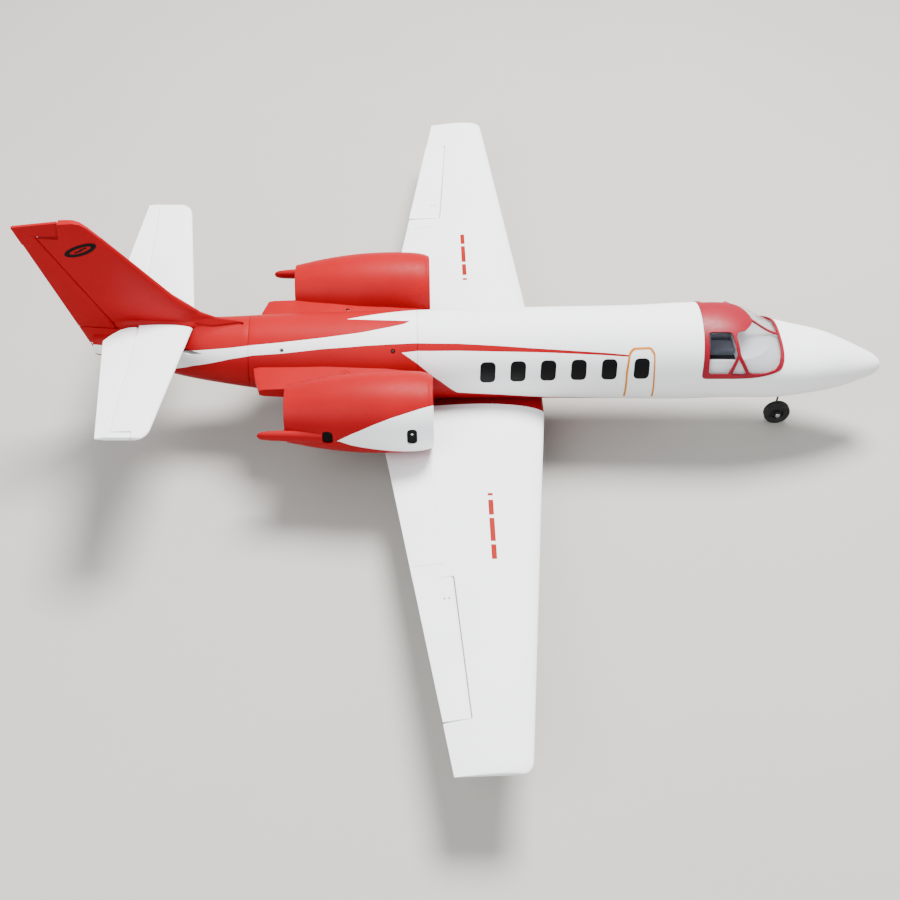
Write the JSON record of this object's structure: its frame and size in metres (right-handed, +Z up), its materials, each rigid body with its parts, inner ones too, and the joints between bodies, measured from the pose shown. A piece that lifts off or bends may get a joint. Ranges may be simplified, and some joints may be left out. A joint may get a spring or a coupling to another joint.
{
  "type": "radio controlled jet plane",
  "caption": "Foam business-jet model aeroplane with ducted fans, hinged control surfaces, servo linkages, lift-off canopy hatch and steerable tricycle gear.",
  "frame": {"origin": "on the ground under the middle of the model's box, standing on its wheels", "axes": "+X towards the nose, +Y towards the left wing tip, +Z up"},
  "size_m": [1.083, 1.18, 0.3165],
  "materials": {
    "white_foam": "painted white bead foam, satin",
    "red_foam": "painted red bead foam, satin",
    "red_plastic": "moulded red plastic canopy frame",
    "clear_plastic": "clear vacuum-formed glazing",
    "black_plastic": "moulded black nylon",
    "black_tyre": "black foam rubber",
    "white_plastic": "moulded white nylon",
    "steel_wire": "bright music wire",
    "motor_metal": "turned motor can",
    "carbon_tube": "carbon fibre tube",
    "battery_wrap": "blue shrink wrap",
    "circuit_case": "dark shrink wrap and case",
    "dark_seat": "dark moulded cockpit"
  },
  "bodies": {
    "airframe": {"aileron_servo_left": "black_plastic", "aileron_servo_right": "black_plastic", "battery": "battery_wrap", "belly_fairing": "red_foam", "elevator_servo": "black_plastic", "exhaust_tube_left": "black_plastic", "exhaust_tube_right": "black_plastic", "fan_housing_left": "black_plastic", "fan_housing_right": "black_plastic", "fan_motor_left": "motor_metal", "fan_motor_right": "motor_metal", "fuselage_front": "white_foam", "fuselage_rear": "red_foam", "main_gear_leg_left": "steel_wire", "main_gear_leg_right": "steel_wire", "nacelle_left": "red_foam", "nacelle_right": "red_foam", "nose_gear_mount": "white_plastic", "receiver": "circuit_case", "rudder_servo": "black_plastic", "speed_controller_left": "circuit_case", "speed_controller_right": "circuit_case", "stabilizer_left": "white_foam", "stabilizer_right": "white_foam", "stabilizer_spar": "carbon_tube", "steering_servo": "black_plastic", "tail_section": "red_foam", "wing_left": "white_foam", "wing_right": "white_foam", "wing_spar": "carbon_tube"},
    "canopy": {"canopy_frame": "red_plastic", "canopy_glazing": "clear_plastic", "cockpit_tub": "dark_seat"},
    "aileron_left": {"aileron_left": "white_foam", "aileron_left_horn": "white_plastic"},
    "aileron_right": {"aileron_right": "white_foam", "aileron_right_horn": "white_plastic"},
    "aileron_left_arm": {"aileron_left_servo_arm": "white_plastic"},
    "aileron_right_arm": {"aileron_right_servo_arm": "white_plastic"},
    "aileron_left_rod": {"aileron_left_pushrod": "steel_wire"},
    "aileron_right_rod": {"aileron_right_pushrod": "steel_wire"},
    "elevator_left": {"elevator_left": "white_foam"},
    "elevator_right": {"elevator_right": "white_foam", "elevator_horn": "white_plastic"},
    "elevator_arm": {"elevator_servo_arm": "white_plastic"},
    "elevator_rod": {"elevator_pushrod": "steel_wire"},
    "rudder": {"rudder": "red_foam", "rudder_horn": "white_plastic"},
    "rudder_arm": {"rudder_servo_arm": "white_plastic"},
    "rudder_rod": {"rudder_pushrod": "steel_wire"},
    "fan_left": {"fan_rotor_left": "black_plastic"},
    "fan_right": {"fan_rotor_right": "black_plastic"},
    "nose_gear": {"nose_gear_leg": "steel_wire"},
    "nose_wheel": {"nose_tyre": "black_tyre", "nose_hub": "white_plastic"},
    "main_wheel_left": {"main_left_tyre": "black_tyre", "main_left_hub": "white_plastic"},
    "main_wheel_right": {"main_right_tyre": "black_tyre", "main_right_hub": "white_plastic"}
  },
  "joints": [
    {"name": "canopy_lift", "type": "slide", "parent": "airframe", "child": "canopy", "axis": [0, 0, 1], "range_m": [0, 0.06]},
    {"name": "aileron_left_hinge", "type": "hinge", "parent": "airframe", "child": "aileron_left", "pos_m": [-0.0344, 0.34, 0.08277], "axis": [0.0755, 0.9962, 0.0436], "range_deg": [-20, 20]},
    {"name": "aileron_left_arm_pivot", "type": "hinge", "parent": "airframe", "child": "aileron_left_arm", "pos_m": [0.02371, 0.36575, 0.08189], "axis": [0.0755, 0.9962, 0.0436], "range_deg": [-20, 20]},
    {"name": "aileron_left_rod_pivot", "type": "hinge", "parent": "aileron_left_arm", "child": "aileron_left_rod", "pos_m": [0.02371, 0.36623, 0.0709], "axis": [0.0755, 0.9962, 0.0436], "range_deg": [-20, 20]},
    {"name": "aileron_right_hinge", "type": "hinge", "parent": "airframe", "child": "aileron_right", "pos_m": [-0.0203, -0.526, 0.09091], "axis": [-0.0755, 0.9962, -0.0436], "range_deg": [-20, 20]},
    {"name": "aileron_right_arm_pivot", "type": "hinge", "parent": "airframe", "child": "aileron_right_arm", "pos_m": [0.02371, -0.36575, 0.08189], "axis": [-0.0755, 0.9962, -0.0436], "range_deg": [-20, 20]},
    {"name": "aileron_right_rod_pivot", "type": "hinge", "parent": "aileron_right_arm", "child": "aileron_right_rod", "pos_m": [0.02371, -0.36623, 0.0709], "axis": [-0.0755, 0.9962, -0.0436], "range_deg": [-20, 20]},
    {"name": "elevator_right_hinge", "type": "hinge", "parent": "airframe", "child": "elevator_right", "pos_m": [-0.4165, -0.2225, 0.185], "axis": [0, 0.9964, -0.0847], "range_deg": [-18, 18]},
    {"name": "elevator_left_hinge", "type": "hinge", "parent": "airframe", "child": "elevator_left", "pos_m": [-0.4165, 0.0165, 0.1675], "axis": [0, 0.9964, 0.0847], "range_deg": [-18, 18]},
    {"name": "elevator_arm_pivot", "type": "hinge", "parent": "airframe", "child": "elevator_arm", "pos_m": [-0.26, -0.02248, 0.141], "axis": [0, 0.9964, -0.0847], "range_deg": [-18, 18]},
    {"name": "elevator_rod_pivot", "type": "hinge", "parent": "elevator_arm", "child": "elevator_rod", "pos_m": [-0.26, -0.02341, 0.13004], "axis": [0, 0.9964, -0.0847], "range_deg": [-18, 18]},
    {"name": "rudder_hinge", "type": "hinge", "parent": "airframe", "child": "rudder", "pos_m": [-0.4458, 0, 0.1605], "axis": [-0.4714, 0, 0.8819], "range_deg": [-25, 25]},
    {"name": "rudder_arm_pivot", "type": "hinge", "parent": "airframe", "child": "rudder_arm", "pos_m": [-0.3953, 0, 0.19002], "axis": [-0.4714, 0, 0.8819], "range_deg": [-25, 25]},
    {"name": "rudder_rod_pivot", "type": "hinge", "parent": "rudder_arm", "child": "rudder_rod", "pos_m": [-0.3953, 0.011, 0.19002], "axis": [-0.4714, 0, 0.8819], "range_deg": [-25, 25]},
    {"name": "fan_left_spin", "type": "hinge", "parent": "airframe", "child": "fan_left", "pos_m": [-0.08997, 0.1178, 0.12837], "axis": [0.9994, 0, 0.0349], "continuous": true},
    {"name": "fan_right_spin", "type": "hinge", "parent": "airframe", "child": "fan_right", "pos_m": [-0.08997, -0.1178, 0.12837], "axis": [0.9994, 0, 0.0349], "continuous": true},
    {"name": "nose_steering", "type": "hinge", "parent": "airframe", "child": "nose_gear", "pos_m": [0.424, 0, 0.0985], "axis": [0, 0, 1], "range_deg": [-30, 30]},
    {"name": "nose_wheel_spin", "type": "hinge", "parent": "nose_gear", "child": "nose_wheel", "pos_m": [0.424, 0, 0.0176], "axis": [0, 1, 0], "continuous": true},
    {"name": "main_wheel_left_spin", "type": "hinge", "parent": "airframe", "child": "main_wheel_left", "pos_m": [-0.05, 0.115, 0.024], "axis": [0, 1, 0], "continuous": true},
    {"name": "main_wheel_right_spin", "type": "hinge", "parent": "airframe", "child": "main_wheel_right", "pos_m": [-0.05, -0.115, 0.024], "axis": [0, 1, 0], "continuous": true}
  ],
  "couplings": [
    {"joint": "aileron_right_hinge", "follows": "aileron_left_hinge", "ratio": -1},
    {"joint": "aileron_left_arm_pivot", "follows": "aileron_left_hinge", "ratio": 1},
    {"joint": "aileron_left_rod_pivot", "follows": "aileron_left_hinge", "ratio": -1},
    {"joint": "aileron_right_arm_pivot", "follows": "aileron_left_hinge", "ratio": -1},
    {"joint": "aileron_right_rod_pivot", "follows": "aileron_left_hinge", "ratio": 1},
    {"joint": "elevator_left_hinge", "follows": "elevator_right_hinge", "ratio": 1},
    {"joint": "elevator_arm_pivot", "follows": "elevator_right_hinge", "ratio": 1},
    {"joint": "elevator_rod_pivot", "follows": "elevator_right_hinge", "ratio": -1},
    {"joint": "rudder_arm_pivot", "follows": "rudder_hinge", "ratio": 1},
    {"joint": "rudder_rod_pivot", "follows": "rudder_hinge", "ratio": -1}
  ]
}
